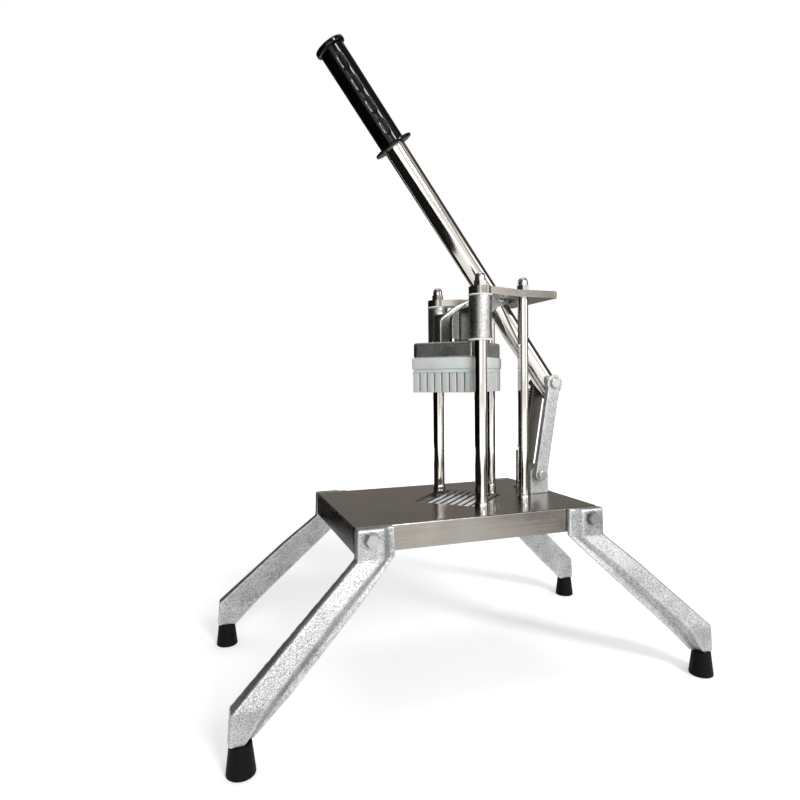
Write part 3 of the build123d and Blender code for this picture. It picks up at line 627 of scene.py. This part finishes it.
ownFinish = {                        # nodes that differ from the rest of their slot
    "leg_bolts": "dullBolt",
    # painted shadow: the leg washers wear a dark copy of the plated finish
    "leg_washers": "paintedShadowWasher",
    "rocker_link_front": "linkCast",
    "link_bracket": "linkCast",
    # painted shade: the rear link wears a darker copy of the link casting
    "rocker_link_rear": "paintedShadeLinkCast",
}


def dressNodes():
    for name, node in nodes.items():
        node.data.materials.clear()
        node.data.materials.append(finishNamed.get(ownFinish.get(name), finishOf[slotOf[name]]))


dressNodes()
print("finishes:", ", ".join(finishes))


# cast pieces: their sharp drawn edges become the soft edges of a sand mould
castings = {
    "legs": {"nodes": ["leg_front_left", "leg_front_right", "leg_rear_left", "leg_rear_right"],
             "voxel": 0.0014, "softening": 5},
    "links": {"nodes": ["rocker_link_front", "rocker_link_rear", "link_bracket"],
              "voxel": 0.0008, "softening": 4},
    "carriage": {"nodes": ["carriage"], "voxel": 0.0010, "softening": 4},
}
mould = {"weldDistance": 0.00001, "smoothFactor": 0.5}    # the same for every casting


def castCopy(nodeName, voxel, softening):
    source = nodes[nodeName]
    piece = bpy.data.objects.new(nodeName + "_casting", source.data.copy())
    bpy.context.scene.collection.objects.link(piece)
    weld = piece.modifiers.new("joinEdges", "WELD")
    weld.merge_threshold = mould["weldDistance"]
    remesh = piece.modifiers.new("evenSkin", "REMESH")
    remesh.mode = "VOXEL"
    remesh.voxel_size = voxel
    remesh.use_smooth_shade = True
    smooth = piece.modifiers.new("moulded", "SMOOTH")
    smooth.factor = mould["smoothFactor"]
    smooth.iterations = softening
    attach(piece, source["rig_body"])
    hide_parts(nodeName)


for family, recipe in castings.items():
    for nodeName in recipe["nodes"]:
        castCopy(nodeName, recipe["voxel"], recipe["softening"])
    print("cast", family + ":", len(recipe["nodes"]), "pieces")


# the lever's own line, from the lower sleeve up through the pivot
lowerSleeve = middleOf("lever_end_sleeve")
pivotSleeve = middleOf("lever_pivot_sleeve")
leverLine = (pivotSleeve - lowerSleeve).normalized()
leverSide = Vector((0.0, 1.0, 0.0))
leverFace = leverLine.cross(leverSide).normalized()

grip = {
    "start": 0.358,            # along the lever from its lower sleeve
    "length": 0.136,
    "radius": 0.0156,
    "guardRadius": 0.0249,
    "guardWidth": 0.005,
    "rimRadius": 0.0189,
    "rimWidth": 0.007,
    "collarPower": 4,          # of the guard's and rim's sections, higher is squarer
    "boreRadius": 0.0136,
    "boreDepth": 0.04,
    "recessDepth": 0.0010,
    "recessCount": 4,          # in each row
    "recessRows": 4,
    "recessMargin": 0.006,     # bare length beside the guard and beside the rim
    "recessFill": 0.80,        # share of the pitch that a recess takes
    "recessWidth": 0.34,       # share of a row's quarter that a recess takes
    "recessTurn": math.radians(-32.0),    # turns the rows round the lever
    "recessPowers": (2.2, 2.6),    # across and along, higher is squarer
    "recessSlope": 0.35,       # share of a recess that its sloping edge takes
    "endShares": (0.97, 0.85, 0.5),    # rings of the end face, as shares of the radius
    "endInset": 0.0001,
    "steps": 260,
    "spokes": 120,
}


def roundedStep(along, start, width, base, peak):
    # a rounded collar between start and start + width
    share = (along - start) / width
    if share < 0.0 or share > 1.0:
        return base
    return base + (peak - base) * math.sqrt(max(0.0, 1.0 - (2.0 * share - 1.0) ** grip["collarPower"]))


def smoothShare(value):
    value = min(1.0, max(0.0, value))
    return value * value * (3.0 - 2.0 * value)


def recessAt(along, angle):
    inner = grip["guardWidth"] + grip["recessMargin"]
    outer = grip["length"] - grip["rimWidth"] - grip["recessMargin"]
    if not inner < along < outer:
        return 0.0
    pitch = (outer - inner) / grip["recessCount"]
    row = (angle - grip["recessTurn"]) / (2 * math.pi) * grip["recessRows"]
    across = (row % 1.0 - 0.5) * 2.0 / grip["recessWidth"]
    lengthwise = (((along - inner) / pitch) % 1.0 - 0.5) * 2.0 / grip["recessFill"]
    acrossPower, alongPower = grip["recessPowers"]
    oval = abs(across) ** acrossPower + abs(lengthwise) ** alongPower
    return grip["recessDepth"] * smoothShare((1.0 - oval) / grip["recessSlope"])


def gripRadius(along, angle):
    radius = roundedStep(along, 0.0, grip["guardWidth"], grip["radius"], grip["guardRadius"])
    rimStart = grip["length"] - grip["rimWidth"]
    radius = max(radius, roundedStep(along, rimStart, grip["rimWidth"], grip["radius"], grip["rimRadius"]))
    return radius - recessAt(along, angle)


def meshFromRings(name, rings, closeEnd, material):
    count = len(rings[0])
    points = [point for ring in rings for point in ring]
    faces = []
    for i in range(len(rings) - 1):
        for j in range(count):
            k = (j + 1) % count
            faces.append((i * count + j, i * count + k, (i + 1) * count + k, (i + 1) * count + j))
    if closeEnd:
        last = (len(rings) - 1) * count
        faces.append(tuple(last + j for j in range(count)))
    piece = newPiece(name, points, faces, material)
    piece.data.shade_smooth()
    return piece


def turnSteps(count):
    return [2 * math.pi * j / count for j in range(count)]


def leverPoint(along, radius, angle):
    out = leverFace * math.cos(angle) + leverSide * math.sin(angle)
    return lowerSleeve + leverLine * along + out * radius


def makeGrip():
    angles = turnSteps(grip["spokes"])
    start, length, bore = grip["start"], grip["length"], grip["boreRadius"]
    rings = [[leverPoint(start + grip["boreDepth"], bore, a) for a in angles]]
    rings.append([leverPoint(start, bore, a) for a in angles])
    for i in range(grip["steps"] + 1):
        along = length * i / grip["steps"]
        rings.append([leverPoint(start + along, gripRadius(along, a), a) for a in angles])
    endFace = start + length - grip["endInset"]
    for share in grip["endShares"]:
        rings.append([leverPoint(endFace, grip["radius"] * share, a) for a in angles])
    piece = meshFromRings("lever_grip_moulded", rings, True, finishOf["black_gloss_plastic"])
    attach(piece, "lever")
    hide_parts("lever_grip")


makeGrip()
print("grip:", grip["recessRows"], "rows of", grip["recessCount"], "recesses")


# the white pusher: a slab with soft corners and fingers that grow out of it through arched slots
pusher = {
    "slabSide": 0.0894,
    "slabFoot": 0.3725,        # height of the slab's lower edge
    "neckSide": 0.0868,        # the solid part between the slab and the slots
    "neckFoot": 0.3684,
    "gridSide": 0.088,
    "cells": 9,
    "slotWidth": 0.0016,
    "slotArch": 0.0026,        # height over which a slot closes at its top
    "fingerLimit": 0.0520,     # fingers and neck are cut off at this distance from the middle
    "fingerCorner": 0.0009,
    "fingerCornerSteps": 3,
    "slabCorner": 0.003,
    "slabCornerSteps": 6,
    "edge": 0.0009,            # reach of the rounding at the top and bottom edges
    "edgeMiddle": 0.3,         # where the rounding's middle point lies, as a share of that reach
    "fingerEdge": 1.2,         # the fingers' rounding is this many times as tall as the slab's
    "archTurns": (30.0, 55.0, 75.0, 90.0),    # degrees round an arch at which it has points
    "archSpread": 1.35,        # growth of a finger at an arch's top, in half slots: over 1 they overlap
    "sharpAngle": math.radians(50.0),
}


def roundedSquare(side, radius, stepsPerCorner):
    reach = side / 2 - radius
    points = []
    for corner, (signU, signV) in enumerate(((1, 1), (-1, 1), (-1, -1), (1, -1))):
        for step in range(stepsPerCorner + 1):
            angle = math.radians(90.0 * (corner + step / stepsPerCorner))
            u = signU * reach + radius * math.cos(angle)
            v = signV * reach + radius * math.sin(angle)
            points.append((u, v))
    return points


def cutOff(points, limit):
    # keeps the part of a convex outline between -limit and +limit across the machine
    for side in (1.0, -1.0):
        kept = []
        for here, after in zip(points, points[1:] + points[:1]):
            inside, nextInside = side * here[1] <= limit, side * after[1] <= limit
            if inside:
                kept.append(here)
            if inside != nextInside:
                share = (side * limit - here[1]) / (after[1] - here[1])
                kept.append((here[0] + (after[0] - here[0]) * share, side * limit))
        points = kept
    return points


def turnedOutline(side, radius, middleU, middleV, limit, steps):
    # the grid stands on its corner, so its own u and v run at 45 degrees to x and y
    turn = math.sqrt(0.5)
    centerX = middleOf("pusher_block").x
    outline = []
    for u, v in roundedSquare(side, radius, steps):
        u, v = u + middleU, v + middleV
        outline.append((centerX + (u - v) * turn, (u + v) * turn))
    return cutOff(outline, limit)


def layeredShell(points, faces, outline, layers):
    # stacks copies of an outline, each moved inwards or outwards by the layer's amount
    midX = sum(p[0] for p in outline) / len(outline)
    midY = sum(p[1] for p in outline) / len(outline)
    reach = max(math.hypot(x - midX, y - midY) for x, y in outline)
    start, count = len(points), len(outline)
    for height, grow in layers:
        size = 1.0 + grow / reach
        points += [(midX + (x - midX) * size, midY + (y - midY) * size, height) for x, y in outline]
    for layer in range(len(layers) - 1):
        for j in range(count):
            a, b = start + layer * count + j, start + layer * count + (j + 1) % count
            faces.append((a, b, b + count, a + count))
    faces.append(tuple(start + j for j in reversed(range(count))))
    faces.append(tuple(start + (len(layers) - 1) * count + j for j in range(count)))


def makePusher():
    low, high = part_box("pusher_block")
    bottom, top, foot, root = low.z, high.z, pusher["slabFoot"], pusher["neckFoot"]
    edge, limit = pusher["edge"], pusher["fingerLimit"]
    part = pusher["edgeMiddle"] * edge
    corner, cornerSteps = pusher["slabCorner"], pusher["slabCornerSteps"]
    points, faces = [], []
    slab = turnedOutline(pusher["slabSide"], corner, 0.0, 0.0, high.y, cornerSteps)
    layeredShell(points, faces, slab, [(foot, -edge), (foot + part, -part), (foot + edge, 0.0),
                                       (top - edge, 0.0), (top - part, -part), (top, -edge)])
    neck = turnedOutline(pusher["neckSide"], corner, 0.0, 0.0, limit, cornerSteps)
    layeredShell(points, faces, neck, [(root, 0.0), (foot + edge, 0.0)])
    arch, gap = pusher["slotArch"], pusher["slotWidth"] / 2
    layers = [(bottom, -edge), (bottom + part, -part), (bottom + pusher["fingerEdge"] * edge, 0.0),
              (root - arch, 0.0)]
    for turn in pusher["archTurns"]:
        rise, close = math.sin(math.radians(turn)), 1.0 - math.cos(math.radians(turn))
        layers.append((root - arch + arch * rise, gap * close * pusher["archSpread"]))
    cells = pusher["cells"]
    pitch, last = pusher["gridSide"] / cells, cells - 1
    count = 0
    for i in range(cells):
        for j in range(cells):
            if i + j in (0, 2 * last):
                continue                 # the front and rear corner cells have no finger
            middleU, middleV = (i - last / 2) * pitch, (j - last / 2) * pitch
            outline = turnedOutline(pitch - pusher["slotWidth"], pusher["fingerCorner"], middleU, middleV,
                                    limit, pusher["fingerCornerSteps"])
            layeredShell(points, faces, outline, layers)
            count += 1
    piece = newPiece("pusher_moulded", points, faces, finishOf["white_plastic"])
    piece.data.shade_smooth()
    piece.data.set_sharp_from_angle(angle=pusher["sharpAngle"])
    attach(piece, "carriage")
    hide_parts("pusher_block")
    return count


print("pusher:", makePusher(), "fingers")


# turned foot rings where the four uprights stand on the tray
footRings = {
    "uprights": ["guide_column_front", "guide_column_rear", "support_post_front", "support_post_rear"],
    "height": 0.0078,
    "proud": 0.0007,           # how far a ring stands out from its upright
    "groove": 0.0004,
    "lap": 0.001,              # how deep its ends reach into the upright
    "rises": (0.0, 0.0, 0.3, 0.80, 0.86, 0.90, 0.96, 1.0),    # heights of the section's points, as shares
    "spokes": 64,
    "sharpAngle": math.radians(35.0),
}


def makeFootRing(nodeName, number):
    middle = middleOf(nodeName)
    low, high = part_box(nodeName)
    radius = (high.y - low.y) / 2
    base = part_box("base_tray")[1].z
    tall, proud, groove, lap = (footRings[label] for label in ("height", "proud", "groove", "lap"))
    reaches = (-lap, proud, proud, proud, proud - groove / 2, -groove, -groove, -lap)
    rings = []
    for rise, reach in zip(footRings["rises"], reaches):
        wide, height = radius + reach, base + rise * tall
        rings.append([(middle.x + wide * math.cos(a), middle.y + wide * math.sin(a), height)
                      for a in turnSteps(footRings["spokes"])])
    piece = meshFromRings("foot_ring_" + str(number), rings, False, finishOf["polished_steel"])
    piece.data.set_sharp_from_angle(angle=footRings["sharpAngle"])
    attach(piece, "base")


for number, nodeName in enumerate(footRings["uprights"], 1):
    makeFootRing(nodeName, number)
print("foot rings:", len(footRings["uprights"]))
